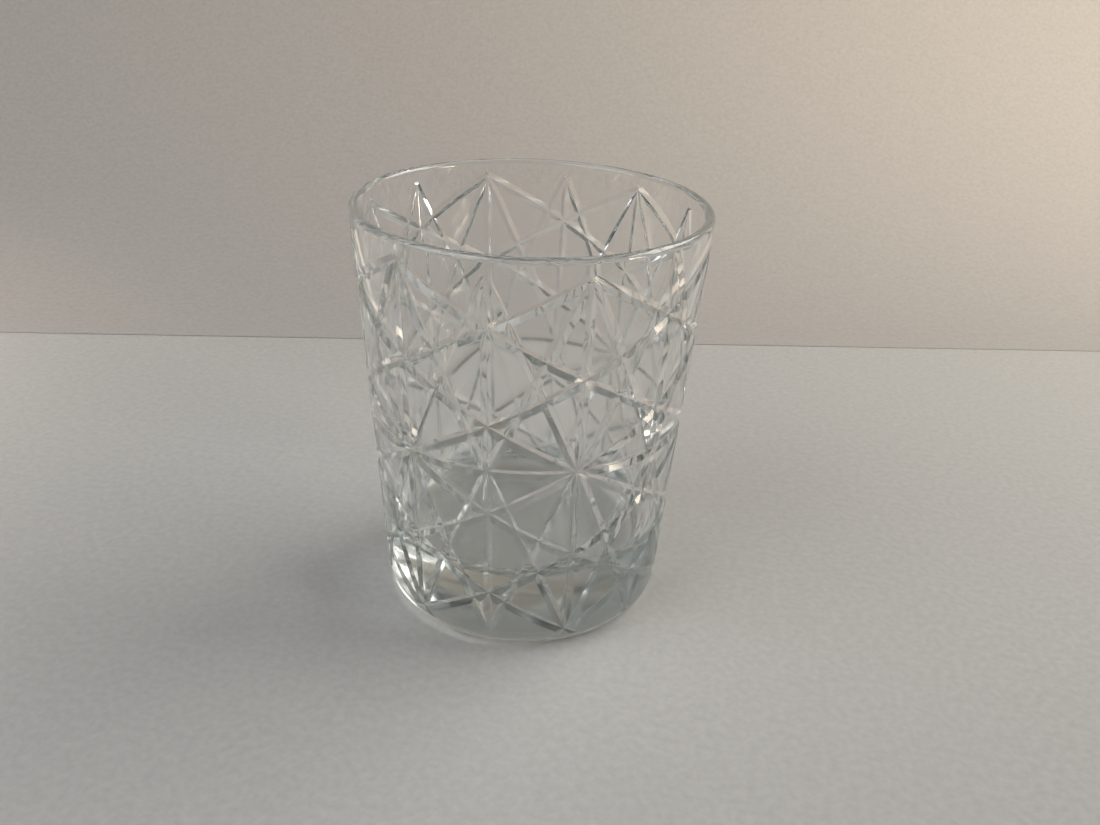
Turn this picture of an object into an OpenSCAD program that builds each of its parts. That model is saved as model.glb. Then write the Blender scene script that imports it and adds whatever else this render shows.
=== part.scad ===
// Rocks glass in clear pressed glass, with a lattice of V cuts that cross in stars.
// The real glass is one piece: its four zones are drawn as solids that meet face to face.
// Millimetres, +Z up, origin on the table at the centre of the foot.

/* [Glass] */
// Height from the table to the top of the lip
height = 105; // [98:0.5:114]
// Outer diameter of the sloping side, carried on to the top of the lip
rim_d = 86.7; // [82:0.1:92]
// Outer diameter of the sloping side, carried on down to the table
foot_d = 73.6; // [70:0.1:78]

/* [Wall and floor] */
// Wall thickness at the lip
lip_t = 2.6; // [2.2:0.1:3.2]
// Wall thickness at the height of the floor
low_wall_t = 4.2; // [3.6:0.1:5.5]
// Thickness of the heavy base, from the table to the floor
floor_h = 20; // [16:0.5:25]
// Rounding inside, between the floor and the wall
corner_r = 6; // [3:0.5:8]

/* [Foot] */
// Height of the plain foot below the cuts
foot_h = 5.4; // [4.8:0.1:7]
// Rounding of the heel
heel_r = 4.4; // [3:0.1:4.6]
// How far the foot stands back from the side above it
foot_inset = 0.5; // [0.3:0.1:0.8]
// Diameter of the hollow in the underside
hollow_d = 56; // [46:1:58]
// Depth of the hollow in the underside
hollow_h = 1.2; // [0.6:0.1:2]

/* [Star cuts] */
// Upright cuts round the glass, an even number
columns = 12; // [10:2:14]
// Width of the net cuts at the surface
cut_w = 2.7; // [2:0.1:3]
// Depth of the net cuts, the deepest ones
cut_d = 0.8; // [0.5:0.05:1]
// Plain band from the cuts to the top of the lip
rim_band = 4.8; // [4.6:0.1:7]
// Length of the pointed end of a cut below the rim
cut_tip = 1.2; // [0.8:0.1:1.8]

/* [Hidden] */
$fn = 96;
glass = [0.80, 0.85, 0.83, 0.6];
// Rows of the lattice from the foot to the top; a net cut crosses one row in every column
rows = 8;
// Columns that each family of cuts drifts by from the foot to the top
upright_shift = 0;
steep_shift = 2;
net_shift = rows;
// Depth of the other cuts as a share of the net cuts' depth
steep_share = 0.9;
upright_share = 0.84;
ring_share = 0.96;
// Place of the ring cut in the cut field, level with the large stars
ring_place = 1 / 2;
// Straight pieces of a cut in each column that it crosses
steps_per_column = 3;
// How far a cut runs past the face that it opens, and how high its V reaches over the side
overrun = 2;
lift = 0.35;
// Cut field, seams between the zones, and slopes of the wall's two sides
cut_h = height - rim_band - foot_h;
rim_seam = height - rim_band / 2;
foot_r = foot_d / 2;
rim_r = rim_d / 2;
slope = atan((rim_r - foot_r) / height);
thinning = (low_wall_t - lip_t) / (height - floor_h);
inner_slope = atan((rim_r - foot_r) / height + thinning);
lip_r = lip_t / (1 / cos(slope) + 1 / cos(inner_slope) - thinning);
base_seam = floor_h + corner_r;

// Outer radius of the sloping side at a height
function side_r(z) = foot_r + z * tan(slope);

// Inner radius of the wall at a height
function inner_r(z) = side_r(z) - low_wall_t + (z - floor_h) * thinning;

// Height of a point on a cut, where t runs from 0 at the foot to 1 at the top node
function cut_z(t) = foot_h + t * cut_h;

// Share of the cut field that lies below a height
function cut_t(z) = (z - foot_h) / cut_h;

// Half width of a V cut of depth d, measured a little above the surface
function cut_half_w(d) = (d + lift) * cut_w / cut_d / 2;

// Corners of the V section at place t of a cut of depth d that leaves column c and drifts by shift columns
function section(c, shift, d, t) =
    let (
        a = (c + shift * t) * 360 / columns,
        z = cut_z(t),
        r = side_r(z),
        along = [-sin(a), cos(a), 0],
        up = [cos(a) * sin(slope), sin(a) * sin(slope), cos(slope)],
        out = cross(along, up),
        run = along * r * shift * 2 * PI / columns + up * cut_h / cos(slope),
        side = cross(out, run) / norm(run),
        half_w = cut_half_w(d),
        p = [r * cos(a), r * sin(a), z]
    )
    [p - out * d, p + out * lift + side * half_w, p + out * lift - side * half_w];

// Points of the cut's path, from below the field or the zone up to the zone's top or the cut's tip
function stations(shift, z_low, z_high) =
    let (
        n = max(1, abs(shift) * steps_per_column),
        first = max(0, floor(n * cut_t(z_low))),
        last = min(n, ceil(n * cut_t(z_high)))
    )
    concat(first == 0 ? [-overrun / cut_h] : [], [for (i = [first : last]) i / n]);

// Length of a cut along the side
function cut_length(shift) = norm([side_r(height / 2) * shift * 2 * PI / columns, cut_h]);

// One V cut from column c at the foot to column c + shift at the top node
module cut(c, shift, d, z_low, z_high) {
    places = stations(shift, z_low, z_high);
    m = len(places);
    tip_t = places[m - 1] + cut_tip / cut_length(shift);
    tip = section(c, shift, d, tip_t)[1] / 2 + section(c, shift, d, tip_t)[2] / 2;
    points = concat([for (t = places) each section(c, shift, d, t)], [tip]);
    sides = [for (j = [0 : m - 2], k = [0 : 2])
        let (a = 3 * j + k, b = 3 * j + (k + 1) % 3)
        each [[a, b + 3, b], [a, a + 3, b + 3]]];
    ends = [for (k = [0 : 2]) [3 * m - 3 + k, 3 * m, 3 * m - 3 + (k + 1) % 3]];
    polyhedron(points, concat([[0, 1, 2]], sides, ends));
}

// Ring cut through the large stars
module ring_cut() {
    z = cut_z(ring_place);
    d = cut_d * ring_share;
    translate([0, 0, z])
        rotate_extrude()
            translate([side_r(z), 0])
                rotate(-slope)
                    polygon([[-d, 0], [lift, -cut_half_w(d)], [lift, cut_half_w(d)]]);
}

// Takes one family of cuts, from every column or every second one, out of what it is given
module carve(shift, d, every, z_low, z_high) {
    difference() {
        children();
        for (c = [0 : every : columns - 1])
            cut(c, shift, d, z_low, z_high);
    }
}

// Solid of the sloping side between two heights
module side_solid(z_low, z_high) {
    translate([0, 0, z_low])
        cylinder(h = z_high - z_low, r1 = side_r(z_low), r2 = side_r(z_high));
}

// Part of a disc inside a bounding outline, for an edge that is rounded off
module rounding(centre, r, outline) {
    intersection() {
        translate(centre)
            circle(r);
        polygon(outline);
    }
}

// Space inside for the drink, with its rounded lower corner
module drink_space() {
    centre = [inner_r(base_seam) - corner_r / cos(inner_slope), base_seam];
    touch_z = base_seam - corner_r * sin(inner_slope);
    top = height + overrun;
    floor_edge = [centre.x, floor_h];
    wall_edge = [inner_r(touch_z), touch_z];
    rotate_extrude()
        union() {
            polygon([[0, floor_h], floor_edge, wall_edge, [inner_r(top), top], [0, top]]);
            rounding(centre, corner_r, [floor_edge, [inner_r(floor_h), floor_h], wall_edge]);
        }
}

// Plain foot with its rounded heel and the hollow under it
module foot() {
    r = side_r(foot_h) - foot_inset;
    dome_r = (pow(hollow_d / 2, 2) + pow(hollow_h, 2)) / (2 * hollow_h);
    sole_edge = [r - heel_r, 0];
    heel_edge = [r, heel_r];
    color(glass)
        difference() {
            rotate_extrude()
                union() {
                    polygon([[0, 0], sole_edge, heel_edge, [r, foot_h], [0, foot_h]]);
                    rounding([r - heel_r, heel_r], heel_r, [sole_edge, [r, 0], heel_edge]);
                }
            translate([0, 0, hollow_h - dome_r])
                sphere(dome_r, $fn = 240);
        }
}

// Zone of the cut side between two heights: all cuts run straight over the unrolled side
module cut_zone(z_low, z_high) {
    carve(-net_shift, cut_d, 2, z_low, z_high)
        carve(net_shift, cut_d, 2, z_low, z_high)
            carve(-steep_shift, cut_d * steep_share, 1, z_low, z_high)
                carve(steep_shift, cut_d * steep_share, 1, z_low, z_high)
                    carve(upright_shift, cut_d * upright_share, 1, z_low, z_high)
                        difference() {
                            side_solid(z_low, z_high);
                            drink_space();
                            ring_cut();
                        }
}

// Heavy base: the floor with its rounded corner, and the lower ends of the cuts
module base() {
    color(glass)
        cut_zone(foot_h, base_seam);
}

// Wall with the stars
module cut_wall() {
    color(glass)
        cut_zone(base_seam, rim_seam);
}

// Plain band and half-round lip
module rim() {
    lip_z = height - lip_r;
    top = height + overrun;
    outer_z = lip_z - lip_r * sin(slope);
    inner_z = lip_z + lip_r * sin(inner_slope);
    outer_edge = [side_r(outer_z), outer_z];
    inner_edge = [inner_r(inner_z), inner_z];
    color(glass)
        rotate_extrude()
            union() {
                polygon([
                    [inner_r(rim_seam), rim_seam],
                    [side_r(rim_seam), rim_seam],
                    outer_edge,
                    inner_edge
                ]);
                rounding([side_r(lip_z) - lip_r / cos(slope), lip_z], lip_r,
                    [outer_edge, [side_r(top), top], [inner_r(top), top], inner_edge]);
            }
}

foot();
base();
cut_wall();
rim();
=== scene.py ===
import math
from typing import NamedTuple

import bmesh
import bpy
import numpy as np
from mathutils import Matrix, Vector


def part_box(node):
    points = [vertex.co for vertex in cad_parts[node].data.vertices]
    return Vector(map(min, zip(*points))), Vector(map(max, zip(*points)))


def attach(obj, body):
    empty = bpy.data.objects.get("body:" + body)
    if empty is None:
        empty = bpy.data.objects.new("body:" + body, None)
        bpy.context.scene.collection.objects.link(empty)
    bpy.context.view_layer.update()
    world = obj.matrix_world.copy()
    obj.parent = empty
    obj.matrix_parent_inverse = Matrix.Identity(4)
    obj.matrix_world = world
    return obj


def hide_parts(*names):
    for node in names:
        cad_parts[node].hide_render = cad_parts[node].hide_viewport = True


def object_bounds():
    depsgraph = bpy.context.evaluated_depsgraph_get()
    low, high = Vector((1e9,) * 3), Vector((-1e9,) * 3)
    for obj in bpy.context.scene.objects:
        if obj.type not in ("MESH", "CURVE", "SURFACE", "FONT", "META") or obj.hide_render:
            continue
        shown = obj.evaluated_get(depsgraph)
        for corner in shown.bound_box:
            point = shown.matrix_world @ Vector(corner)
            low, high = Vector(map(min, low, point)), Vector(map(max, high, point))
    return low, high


bl_info = {
    "name": "Star-cut rocks glass",
    "version": (1, 0, 0),
    "blender": (4, 5, 0),
    "location": "View3D > Sidebar > Rocks glass",
    "description": "Builds a pressed rocks glass with star cuts, and a plain stage for it",
    "category": "Add Mesh",
}

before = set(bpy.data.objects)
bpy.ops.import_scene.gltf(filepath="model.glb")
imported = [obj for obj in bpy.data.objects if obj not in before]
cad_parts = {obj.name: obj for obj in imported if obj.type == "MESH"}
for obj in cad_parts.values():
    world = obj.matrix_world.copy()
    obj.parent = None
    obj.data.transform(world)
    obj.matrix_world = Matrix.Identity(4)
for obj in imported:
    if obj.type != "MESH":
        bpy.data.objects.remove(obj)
CAD_LOW, CAD_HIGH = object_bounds()

MM = 0.001
ZONES = ("foot", "base", "cut_wall", "rim")
# Rounding between the floor and the wall, in millimetres: the CAD base ends level with its centre
CORNER_MM = 6


def node_top(name):
    """Height of a CAD zone's upper face."""
    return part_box(name)[1].z


def linear(hex_code):
    """sRGB hex code to linear red, green and blue."""
    parts = [int(hex_code[i:i + 2], 16) / 255 for i in (1, 3, 5)]
    return tuple(c / 12.92 if c <= 0.04045 else ((c + 0.055) / 1.055) ** 2.4 for c in parts)


def length(name, description, mm):
    """A length, kept in metres and given in millimetres."""
    return bpy.props.FloatProperty(
        name=name, description=description, default=mm * MM, unit="LENGTH", precision=5)


def angle(name, description, degrees):
    """An angle, kept in radians and given in degrees."""
    return bpy.props.FloatProperty(
        name=name, description=description, default=math.radians(degrees), subtype="ANGLE")


def watts(name, description, power):
    """The power of a lamp."""
    return bpy.props.FloatProperty(
        name=name, description=description, default=power, unit="POWER")


def number(name, description, value):
    """A plain number."""
    return bpy.props.FloatProperty(
        name=name, description=description, default=value, precision=3)


def colour(name, description, hex_code):
    """A colour, kept linear and given as an sRGB hex code."""
    return bpy.props.FloatVectorProperty(
        name=name, description=description, default=linear(hex_code),
        size=3, subtype="COLOR", min=0.0, max=1.0)


class TumblerSizes(bpy.types.PropertyGroup):
    height: length("Height", "From the table to the top of the lip", CAD_HIGH.z / MM)
    rim_d: length("Rim diameter", "Sloping side carried on to the top of the lip", 86.7)
    foot_d: length("Foot diameter", "Sloping side carried on down to the table", 73.6)
    lip_t: length("Lip thickness", "Wall thickness at the lip", 2.6)
    low_wall_t: length("Lower wall thickness", "Wall thickness at the height of the floor", 4.2)
    floor_h: length("Base thickness", "From the table to the floor inside",
                    node_top("base") / MM - CORNER_MM)
    corner_r: length("Inner corner", "Rounding between the floor and the wall", CORNER_MM)
    foot_h: length("Foot height", "Plain foot below the cuts", node_top("foot") / MM)
    heel_r: length("Heel", "Rounding of the heel", 4.4)
    foot_inset: length("Foot inset", "How far the foot stands back from the side", 0.5)
    ledge_r: length("Ledge rounding", "Softened edge above the foot", 0.12)
    hollow_d: length("Hollow diameter", "Hollow in the underside", 56)
    hollow_h: length("Hollow depth", "Depth of the hollow in the underside", 1.2)
    columns: bpy.props.IntProperty(
        name="Columns", description="Upright cuts round the glass, an even number",
        default=12, min=10, max=14, step=2)
    cut_w: length("Cut width", "Width of the net cuts at the surface", 2.7)
    cut_d: length("Cut depth", "Depth of the net cuts, the deepest ones", 0.8)
    rim_band: length("Rim band", "From the cuts to the top of the lip", 4.8)
    cut_tip: length("Cut tip", "Pointed end of a cut below the rim", 1.2)
    shoulder_r: length("Shoulder", "Fire-polished rounding along a cut's edges", 0.6)


class TumblerGlass(bpy.types.PropertyGroup):
    ior: number("IOR", "Refractive index of soda-lime glass", 1.52)
    tint: colour("Tint", "Colour left after the tint depth", "#dfe2e1")
    tint_depth: length("Tint depth", "Thickness of glass that gives the tint", 40)
    wave: length("Wave", "Length of the soft waves that pressing leaves", 9)
    wave_height: length("Wave height", "Height of those waves", 0.012)
    patch: length("Patch", "Size of the duller and brighter patches that the mould leaves", 25)
    bright: number("Bright patch", "Roughness of the brightest patches", 0.02)
    dull: number("Dull patch", "Roughness of the dullest patches", 0.11)
    polish_h: length("Polished band", "Band from the top of the lip that flame polishes", 5)
    polish_end: length("Polish end", "Depth under the top of the lip where the polish ends", 9)
    polish: number("Polish", "Share of the roughness that the polish leaves", 0.08)
    chill_h: length("Chilled base", "Height up to which the mould chills the glass most", 14)
    chill_end: length("Chill end", "Height where the chilled dullness ends", 34)
    chill: number("Chill", "How many times rougher the chilled glass is", 1.6)


class StageLook(bpy.types.PropertyGroup):
    table: colour("Table", "Grey card under the glass", "#b4b3b0")
    backdrop: colour("Backdrop", "Grey card behind the glass", "#aaa6a2")
    speck: length("Speck", "Size of the fibre specks in the card", 2)
    mottle: number("Mottle", "How far the specks depart from the card's tone", 0.14)
    card_rough: number("Card roughness", "Roughness of the card", 0.85)
    table_end: length("Table end", "From the glass to the sheet behind it", 160)
    sheet_r: length("Sheet bend", "Radius at which the sheet behind curves up", 250)
    sheet_h: length("Sheet height", "Height of the sheet behind", 360)
    room: colour("Room", "Dim light from all round", "#505151")
    window_w: watts("Window", "Soft daylight from behind on the right", 50.0)
    fill_w: watts("Fill", "Cool light from the left", 3.8)
    wash_w: watts("Warm wash", "Warm light on the sheet behind", 1.9)
    glow_w: watts("Warm glow", "Warm pool of light on the table, out of view at the left", 0.24)


class PhotoCamera(bpy.types.PropertyGroup):
    azimuth: angle("Azimuth", "Side that the camera looks from", 12.436)
    pan: angle("Pan", "Turn to the right of the glass's axis", 1.477)
    pitch: angle("Pitch", "Tilt below the horizon", 27.184)
    roll: angle("Roll", "Turn about the line of sight", 2.402)
    distance: length("Distance", "From the glass's axis, along the table", 238.04)
    height: length("Height", "Above the table", 170.87)
    lens: number("Lens", "Focal length on a 36 mm wide sensor, in millimetres", 33.34)


class Lamp(NamedTuple):
    """A soft rectangular light, in metres: x to the right and y away, as the camera sees the glass."""

    size: tuple
    place: tuple
    target: tuple
    hex_code: str
    spread: float = math.pi


MIDDLE = (0, 0, CAD_HIGH.z / 2)
LAMPS = {
    # Wide enough for a soft shadow and for long streaks on the lip
    "window": Lamp(size=(2.2, 1.1), place=(1.8, 0.66, 1.66), target=MIDDLE, hex_code="#fffcf7"),
    "fill": Lamp(size=(0.7, 0.7), place=(-0.55, -0.35, 0.62), target=MIDDLE, hex_code="#f8faff"),
    "wash": Lamp(size=(0.4, 0.3), place=(0.85, -0.3, 0.25), target=(0.28, 0.42, 0.12),
                 hex_code="#fff0da", spread=math.radians(70)),
    # Lights the table just outside the photograph's view; the glass shows it as a warm patch
    "glow": Lamp(size=(0.1, 0.1), place=(-0.5, 0.05, 0.25), target=(-0.38, 0.08, 0),
                 hex_code="#ffeed8", spread=math.radians(60)),
}


class Outline:
    """Radii and heights of the glass, worked out from its sizes."""

    # Straight pieces in each rounded part
    arc_steps = 8

    def __init__(self, sizes):
        self.sizes = sizes
        self.side_tan = (sizes.rim_d - sizes.foot_d) / 2 / sizes.height
        self.thinning = (sizes.low_wall_t - sizes.lip_t) / (sizes.height - sizes.floor_h)
        self.slope = math.atan(self.side_tan)
        self.inner_slope = math.atan(self.side_tan + self.thinning)
        self.cut_h = sizes.height - sizes.rim_band - sizes.foot_h

    def side_r(self, z):
        """Outer radius of the sloping side at a height."""
        return self.sizes.foot_d / 2 + z * self.side_tan

    def inner_r(self, z):
        """Inner radius of the wall at a height."""
        return self.side_r(z) - self.sizes.low_wall_t + (z - self.sizes.floor_h) * self.thinning

    def arc(self, centre, r, start, end):
        """Points of an arc from one angle to another, in degrees."""
        angles = np.radians(np.linspace(start, end, self.arc_steps + 1))
        return [(centre[0] + r * math.cos(a), centre[1] + r * math.sin(a)) for a in angles]

    def underside(self):
        """The domed hollow, from the axis to the standing ring."""
        depth = self.sizes.hollow_h
        hollow_r = self.sizes.hollow_d / 2
        dome_r = (hollow_r ** 2 + depth ** 2) / (2 * depth)
        radii = np.linspace(0, hollow_r, self.arc_steps + 1)
        return [(r, depth - dome_r + math.sqrt(dome_r ** 2 - r ** 2)) for r in radii]

    def foot(self):
        """The rounded heel, the foot's side and the softened ledge above it."""
        sizes = self.sizes
        r = self.side_r(sizes.foot_h) - sizes.foot_inset
        heel = (r - sizes.heel_r, sizes.heel_r)
        ledge = (self.side_r(sizes.foot_h) - sizes.ledge_r, sizes.foot_h + sizes.ledge_r)
        return [*self.arc(heel, sizes.heel_r, -90, 0), (r, sizes.foot_h),
                *self.arc(ledge, sizes.ledge_r, -90, -math.degrees(self.slope))]

    def lip(self):
        """The half-round lip, from the outer side of the wall to the inner one."""
        sizes = self.sizes
        r = sizes.lip_t / (1 / math.cos(self.slope) + 1 / math.cos(self.inner_slope) - self.thinning)
        z = sizes.height - r
        centre = (self.side_r(z) - r / math.cos(self.slope), z)
        return self.arc(centre, r, -math.degrees(self.slope), 180 - math.degrees(self.inner_slope))

    def inside(self):
        """The rounded corner at the bottom of the wall, and the floor."""
        sizes = self.sizes
        z = sizes.floor_h + sizes.corner_r
        centre = (self.inner_r(z) - sizes.corner_r / math.cos(self.inner_slope), z)
        return [*self.arc(centre, sizes.corner_r, -math.degrees(self.inner_slope), -90),
                (0, sizes.floor_h)]

    def points(self):
        """The half section, from the axis under the glass round to the axis on its floor."""
        return [*self.underside(), *self.foot(), *self.lip(), *self.inside()]


def revolved(points, steps):
    """Corners and faces of a half section turned about the axis, where it starts and ends."""
    turn = np.arange(steps) * 2 * math.pi / steps
    rings = points[1:-1]
    verts = [(r * math.cos(a), r * math.sin(a), z) for r, z in rings for a in turn]
    low = len(verts)
    high = low + 1
    verts += [(0, 0, points[0][1]), (0, 0, points[-1][1])]
    last = (len(rings) - 1) * steps
    faces = []
    for i in range(steps):
        j = (i + 1) % steps
        faces.append((low, j, i))
        faces += [(k + i, k + j, k + steps + j, k + steps + i) for k in range(0, last, steps)]
        faces.append((last + i, last + j, high))
    return verts, faces


class StarCuts:
    """The lattice of V cuts, as closed sweeps that are taken out of the glass."""

    # Columns that the steep cuts and the net cuts drift by, from the foot to their ends
    steep_shift = 2
    net_shift = 8
    # Depth of the other cuts as a share of the net cuts' depth
    steep_share = 0.9
    upright_share = 0.84
    ring_share = 0.96
    # Turn about the axis in one straight piece of a cut, and the fewest pieces in a cut
    turn_step = math.radians(1)
    least_steps = 8
    # How far a cut runs down past the ledge, and how high its sweep stands over the side
    overrun = 2 * MM
    lift = 0.4 * MM
    # Height over the side at which the sweep's shoulders end
    skim = 0.015 * MM
    # Rounding at the bottom of the V
    bottom_r = 0.12 * MM
    # Points of a shoulder's bend, as shares of the flank's angle
    bend_shares = (0.25, 0.6, 1)

    def __init__(self, outline):
        self.outline = outline
        self.sizes = outline.sizes

    def section(self, depth):
        """(across, out) points of a V with rounded shoulders and bottom, as pressed cuts have."""
        flank = math.atan(2 * self.sizes.cut_d / self.sizes.cut_w)
        r = self.sizes.shoulder_r
        centre = depth / math.tan(flank) + r * math.tan(flank / 2)
        shoulder = [(centre - r * math.sin(flank * share), r * math.cos(flank * share) - r)
                    for share in self.bend_shares]
        # The bend's first straight piece is carried on until it is clear of the side
        rise = math.tan(flank * self.bend_shares[0] / 2)
        across, out = shoulder[0]
        brink = across + (self.skim - out) / rise
        bottom = self.bottom_r * math.sin(flank)
        fill = bottom * math.tan(flank / 2)
        right = [(brink, self.lift), (brink, self.skim), *shoulder, (bottom, 2 * fill - depth)]
        return [*right, (0, fill - depth), *[(-s, n) for s, n in reversed(right)]]

    def on_side(self, turn, z, out):
        """A point at a turn and height on the sloping side, moved out along its normal."""
        slope = self.outline.slope
        r = self.outline.side_r(z) + out * math.cos(slope)
        return (r * math.cos(turn), r * math.sin(turn), z - out * math.sin(slope))

    def station(self, column, shift, t, section):
        """The section's points at place t of a cut that drifts by shift columns over the field."""
        turn = (column + shift * t) * 2 * math.pi / self.sizes.columns
        z = self.sizes.foot_h + t * self.outline.cut_h
        r = self.outline.side_r(z)
        drift = r * shift * 2 * math.pi / self.sizes.columns
        run = Vector((drift, self.outline.cut_h)).normalized()
        return [self.on_side(turn + s * run.y / r, z - s * run.x, n) for s, n in section]

    def cut(self, column, shift, depth):
        """One cut from a column at the foot to its pointed end under the rim."""
        section = self.section(depth)
        cut_h = self.outline.cut_h
        turn = abs(shift) * 2 * math.pi / self.sizes.columns
        steps = max(self.least_steps, round(turn / self.turn_step))
        run = math.hypot(self.outline.side_r(self.sizes.height / 2) * turn, cut_h)
        places = [-self.overrun / cut_h, *(i / steps for i in range(steps + 1))]
        verts = [v for t in places for v in self.station(column, shift, t, section)]
        tip = self.station(column, shift, 1 + self.sizes.cut_tip / run, [(0, self.lift)])
        m = len(section)
        n = len(places)
        faces = [tuple(range(m))]
        faces += [(j * m + k, (j + 1) * m + k, (j + 1) * m + (k + 1) % m, j * m + (k + 1) % m)
                  for j in range(n - 1) for k in range(m)]
        faces += [((n - 1) * m + k, n * m, (n - 1) * m + (k + 1) % m) for k in range(m)]
        return verts + tip, faces

    def ring(self):
        """The ring cut through the large stars."""
        section = self.section(self.sizes.cut_d * self.ring_share)
        z = self.sizes.foot_h + self.outline.cut_h / 2
        m = len(section)
        n = round(2 * math.pi / self.turn_step)
        verts = [self.on_side(i * self.turn_step, z + s, out)
                 for i in range(n) for s, out in section]
        faces = [(j * m + k, (j + 1) % n * m + k, (j + 1) % n * m + (k + 1) % m, j * m + (k + 1) % m)
                 for j in range(n) for k in range(m)]
        return [(verts, faces)]

    def family(self, shift, share, every):
        """Cuts that run side by side from every column, or from every second one."""
        depth = self.sizes.cut_d * share
        return [self.cut(c, shift, depth) for c in range(0, self.sizes.columns, every)]

    def families(self):
        """The ring, the upright cuts, then the steep cuts and the net cuts each way."""
        return [self.ring(),
                self.family(0, self.upright_share, every=1),
                self.family(self.steep_shift, self.steep_share, every=1),
                self.family(-self.steep_shift, self.steep_share, every=1),
                self.family(self.net_shift, share=1, every=2),
                self.family(-self.net_shift, share=1, every=2)]


def mesh_object(name, shells):
    """A linked object of one or more shells, each (corners, faces), with its faces turned outwards."""
    mesh = bpy.data.meshes.new(name)
    bm = bmesh.new()
    for verts, faces in shells:
        made = [bm.verts.new(v) for v in verts]
        for f in faces:
            bm.faces.new([made[i] for i in f])
    bmesh.ops.recalc_face_normals(bm, faces=bm.faces)
    bm.to_mesh(mesh)
    bm.free()
    obj = bpy.data.objects.new(name, mesh)
    bpy.context.scene.collection.objects.link(obj)
    return obj


def take_out(obj, cutters):
    """Takes the cutters out of an object for good, one after another."""
    for cutter in cutters:
        boolean = obj.modifiers.new(cutter.name, "BOOLEAN")
        boolean.operation = "DIFFERENCE"
        boolean.solver = "MANIFOLD"
        boolean.object = cutter
    graph = bpy.context.evaluated_depsgraph_get()
    cut = bpy.data.meshes.new_from_object(obj.evaluated_get(graph))
    obj.modifiers.clear()
    whole = obj.data
    obj.data = cut
    cut.name = whole.name
    cut.materials.clear()
    bpy.data.meshes.remove(whole)
    for cutter in cutters:
        spent = cutter.data
        bpy.data.objects.remove(cutter)
        bpy.data.meshes.remove(spent)


def soften(obj, weld, crease):
    """Welds slivers, shades smooth up to the crease angle and evens the normals of flat stretches."""
    bm = bmesh.new()
    bm.from_mesh(obj.data)
    bmesh.ops.remove_doubles(bm, verts=bm.verts, dist=weld)
    bmesh.ops.dissolve_degenerate(bm, edges=bm.edges, dist=weld)
    for f in bm.faces:
        f.smooth = True
    for e in bm.edges:
        e.smooth = e.calc_face_angle(0) < crease
    bm.to_mesh(obj.data)
    bm.free()
    even = obj.modifiers.new("Even normals", "WEIGHTED_NORMAL")
    even.mode = "FACE_AREA_WITH_ANGLE"
    even.keep_sharp = True


def add_node(tree, kind, settings=None, **sockets):
    """A new node with its settings, and its sockets linked or set.

    A socket is given by its name, with underscores for spaces, or by i and its number.
    """
    node = tree.nodes.new(kind)
    for key, value in (settings or {}).items():
        setattr(node, key, value)
    for key, value in sockets.items():
        socket = node.inputs[int(key[1:]) if key[1:].isdigit() else key.replace("_", " ")]
        if isinstance(value, bpy.types.NodeSocket):
            tree.links.new(value, socket)
        else:
            socket.default_value = value
    return node


def new_material(name):
    """An empty node material, and its tree."""
    material = bpy.data.materials.new(name)
    material.use_nodes = True
    material.node_tree.nodes.clear()
    return material, material.node_tree


def pressed_glass(look):
    """Pressed soda-lime glass: clear, faintly grey-green where it is thick, with soft pressing waves.

    The mould leaves the side a little dull, in patches, so the cuts show as soft light and dark bands.
    The base, where the hot glass meets the mould first, is dullest. The lip is polished by flame and
    shines in sharp lines.
    """
    material, tree = new_material("Pressed soda-lime glass")
    place = add_node(tree, "ShaderNodeTexCoord").outputs["Object"]
    up = add_node(tree, "ShaderNodeSeparateXYZ", Vector=place).outputs["Z"]
    waves = add_node(tree, "ShaderNodeTexNoise", Vector=place, Scale=1 / look.wave, Detail=1.0)
    bump = add_node(tree, "ShaderNodeBump", Height=waves.outputs["Fac"],
                    Strength=1.0, Distance=look.wave_height)
    patches = add_node(tree, "ShaderNodeTexNoise", Vector=place, Scale=1 / look.patch, Detail=3.0)
    moulded = add_node(tree, "ShaderNodeMapRange", Value=patches.outputs["Fac"],
                       To_Min=look.bright, To_Max=look.dull)
    polish = add_node(tree, "ShaderNodeMapRange", Value=up,
                      From_Min=CAD_HIGH.z - look.polish_end, From_Max=CAD_HIGH.z - look.polish_h,
                      To_Min=1.0, To_Max=look.polish)
    chill = add_node(tree, "ShaderNodeMapRange", Value=up,
                     From_Min=look.chill_h, From_Max=look.chill_end,
                     To_Min=look.chill, To_Max=1.0)
    side = add_node(tree, "ShaderNodeMath", {"operation": "MULTIPLY"},
                    i0=moulded.outputs["Result"], i1=polish.outputs["Result"])
    rough = add_node(tree, "ShaderNodeMath", {"operation": "MULTIPLY"},
                     i0=side.outputs["Value"], i1=chill.outputs["Result"])
    glass = add_node(tree, "ShaderNodeBsdfPrincipled", Base_Color=(1, 1, 1, 1), IOR=look.ior,
                     Roughness=rough.outputs["Value"], Transmission_Weight=1.0,
                     Normal=bump.outputs["Normal"])
    loss = [-math.log(c) / look.tint_depth for c in look.tint]
    density = max(loss)
    tint = add_node(tree, "ShaderNodeVolumeAbsorption", Density=density,
                    Color=(*(1 - s / density for s in loss), 1))
    add_node(tree, "ShaderNodeOutputMaterial", Surface=glass.outputs["BSDF"],
             Volume=tint.outputs["Volume"])
    return material


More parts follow.
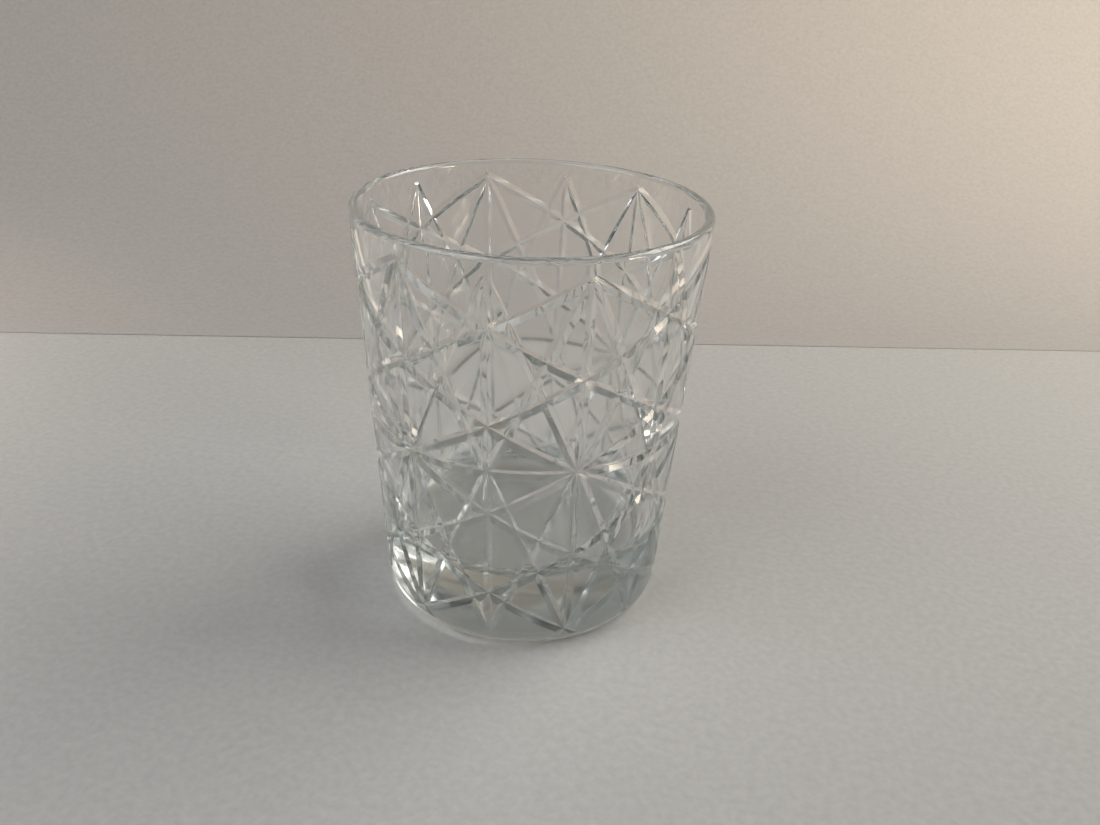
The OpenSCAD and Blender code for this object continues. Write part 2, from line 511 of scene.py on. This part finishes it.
def grey_card(name, tone, look):
    """Uncoated grey card: dry and matt, faintly mottled by its fibres.

    The specks are drawn coarser than real fibres, so that they show.
    """
    material, tree = new_material(name)
    place = add_node(tree, "ShaderNodeTexCoord").outputs["Object"]
    fibre = add_node(tree, "ShaderNodeTexNoise", Vector=place, Scale=1 / look.speck, Detail=2.0)
    mottle = add_node(tree, "ShaderNodeMapRange", Value=fibre.outputs["Fac"],
                      To_Min=1 - look.mottle, To_Max=1 + look.mottle)
    paper = add_node(tree, "ShaderNodeVectorMath", {"operation": "SCALE"}, i0=tone,
                     Scale=mottle.outputs["Result"])
    card = add_node(tree, "ShaderNodeBsdfPrincipled", Base_Color=paper.outputs["Vector"],
                    Roughness=look.card_rough)
    add_node(tree, "ShaderNodeOutputMaterial", Surface=card.outputs["BSDF"])
    return material


class GLASS_OT_tumbler(bpy.types.Operator):
    """Build the rocks glass as one clear solid with its star cuts"""

    bl_idname = "rocks_glass.tumbler"
    bl_label = "Tumbler"

    # Straight pieces round the glass
    turn_steps = 360
    # Points closer than this are welded, and edges with a wider bend than this are drawn sharp
    weld = 0.002 * MM
    crease = math.radians(28)

    def execute(self, context):
        scene = context.scene
        outline = Outline(scene.tumbler_sizes)
        glass = mesh_object("tumbler", [revolved(outline.points(), self.turn_steps)])
        cutters = [mesh_object(f"cutter_{i}", family)
                   for i, family in enumerate(StarCuts(outline).families())]
        take_out(glass, cutters)
        soften(glass, self.weld, self.crease)
        glass.data.materials.append(pressed_glass(scene.tumbler_glass))
        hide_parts(*ZONES)
        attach(glass, "root")
        return {"FINISHED"}


class GLASS_OT_stage(bpy.types.Operator):
    """Set the plain floor, the sheet behind it, the soft lights and the camera"""

    bl_idname = "rocks_glass.stage"
    bl_label = "Stage"

    # Half width of the floor in metres, and its height, a hair under the foot
    floor_half = 3.0
    floor_z = -0.2 * MM
    # Half width of the sheet in metres, its turn against the camera, and straight pieces in its bend
    sheet_half = 1.2
    sheet_slant = math.radians(2.1)
    bend_steps = 30
    # Width of the camera's sensor in millimetres, and the range that it sees in metres
    sensor_mm = 36
    clip_near = 1 * MM
    clip_far = 20
    # Light meets many faces of the cuts before it leaves the glass
    all_bounces = 48
    glass_bounces = 32

    def floor(self, look):
        """A wide flat sheet of card under the glass."""
        half = self.floor_half
        corners = [(x, y, self.floor_z) for x, y in
                   ((-half, -half), (half, -half), (half, half), (-half, half))]
        floor = mesh_object("floor", [(corners, [(0, 1, 2, 3)])])
        floor.data.materials.append(grey_card("Uncoated grey card", look.table, look))
        return floor

    def sheet(self, look, azimuth):
        """A sheet of card that lies at the table's end and curves up behind the glass."""
        bend = np.linspace(0, math.pi / 2, self.bend_steps + 1)
        line = [(look.table_end + look.sheet_r * math.sin(a), look.sheet_r * (1 - math.cos(a)))
                for a in bend]
        line.append((line[-1][0], look.sheet_h))
        verts = [(x, y, z) for y, z in line for x in (-self.sheet_half, self.sheet_half)]
        faces = [(i, i + 1, i + 3, i + 2) for i in range(0, len(verts) - 2, 2)]
        sheet = mesh_object("sheet", [(verts, faces)])
        for f in sheet.data.polygons:
            f.use_smooth = True
        sheet.data.materials.append(grey_card("Uncoated warm grey card", look.backdrop, look))
        sheet.rotation_euler.z = azimuth + self.sheet_slant
        return sheet

    def lamp(self, name, power, turn):
        """One of the lamps, turned from the camera's side into the glass's frame."""
        plan = LAMPS[name]
        light = bpy.data.lights.new(name, "AREA")
        light.shape = "RECTANGLE"
        light.energy = power
        light.color = linear(plan.hex_code)
        light.size, light.size_y = plan.size
        light.spread = plan.spread
        lamp = bpy.data.objects.new(name, light)
        lamp.location = turn @ Vector(plan.place)
        aim = turn @ Vector(plan.target) - lamp.location
        lamp.rotation_mode = "QUATERNION"
        lamp.rotation_quaternion = aim.to_track_quat("-Z", "Y")
        bpy.context.scene.collection.objects.link(lamp)

    def room(self, scene, tone):
        """Dim even light from all round."""
        world = bpy.data.worlds.new("Soft room")
        world.use_nodes = True
        world.node_tree.nodes["Background"].inputs["Color"].default_value = (*tone, 1)
        scene.world = world

    def camera(self, scene, photo):
        """The photograph's camera: place, pan, pitch and roll about the glass's axis."""
        data = bpy.data.cameras.new("photo_camera")
        data.sensor_width = self.sensor_mm
        data.sensor_fit = "HORIZONTAL"
        data.lens = photo.lens
        data.clip_start = self.clip_near
        data.clip_end = self.clip_far
        cam = bpy.data.objects.new("photo_camera", data)
        ahead = Vector((math.sin(photo.pan) * math.cos(photo.pitch),
                        math.cos(photo.pan) * math.cos(photo.pitch), -math.sin(photo.pitch)))
        side = Vector((math.cos(photo.pan), -math.sin(photo.pan), 0))
        up = side.cross(ahead)
        across = math.cos(photo.roll) * side + math.sin(photo.roll) * up
        upright = -math.sin(photo.roll) * side + math.cos(photo.roll) * up
        axes = Matrix((across, upright, -ahead)).transposed().to_4x4()
        stand = Matrix.Translation((0, -photo.distance, photo.height))
        cam.matrix_world = Matrix.Rotation(photo.azimuth, 4, "Z") @ stand @ axes
        scene.collection.objects.link(cam)
        scene.camera = cam

    def execute(self, context):
        scene = context.scene
        look = scene.glass_stage
        photo = scene.photo_camera
        floor = self.floor(look)
        sheet = self.sheet(look, photo.azimuth)
        turn = Matrix.Rotation(photo.azimuth, 3, "Z")
        powers = {"window": look.window_w, "fill": look.fill_w,
                  "wash": look.wash_w, "glow": look.glow_w}
        for name, power in powers.items():
            self.lamp(name, power, turn)
        self.room(scene, look.room)
        self.camera(scene, photo)
        scene.view_settings.view_transform = "Standard"
        scene.cycles.max_bounces = self.all_bounces
        scene.cycles.glossy_bounces = self.glass_bounces
        scene.cycles.transmission_bounces = self.glass_bounces
        # What is seen by way of the dull glass isn't blurred any further
        scene.cycles.blur_glossy = 0
        return {"FINISHED"}


class GLASS_PT_panel(bpy.types.Panel):
    """The glass's pieces and its stage"""

    bl_idname = "GLASS_PT_panel"
    bl_label = "Rocks glass"
    bl_space_type = "VIEW_3D"
    bl_region_type = "UI"
    bl_category = "Rocks glass"

    def draw(self, context):
        for operator in OPERATORS:
            self.layout.operator(operator.bl_idname)


OPERATORS = (GLASS_OT_tumbler, GLASS_OT_stage)
GROUPS = {"tumbler_sizes": TumblerSizes, "tumbler_glass": TumblerGlass,
          "glass_stage": StageLook, "photo_camera": PhotoCamera}
CLASSES = (*GROUPS.values(), *OPERATORS, GLASS_PT_panel)


def register():
    for c in CLASSES:
        bpy.utils.register_class(c)
    for name, group in GROUPS.items():
        setattr(bpy.types.Scene, name, bpy.props.PointerProperty(type=group))


def unregister():
    for name in GROUPS:
        delattr(bpy.types.Scene, name)
    for c in reversed(CLASSES):
        bpy.utils.unregister_class(c)


def main():
    register()
    bpy.ops.rocks_glass.tumbler()
    bpy.ops.rocks_glass.stage()


if __name__ == "__main__":
    main()
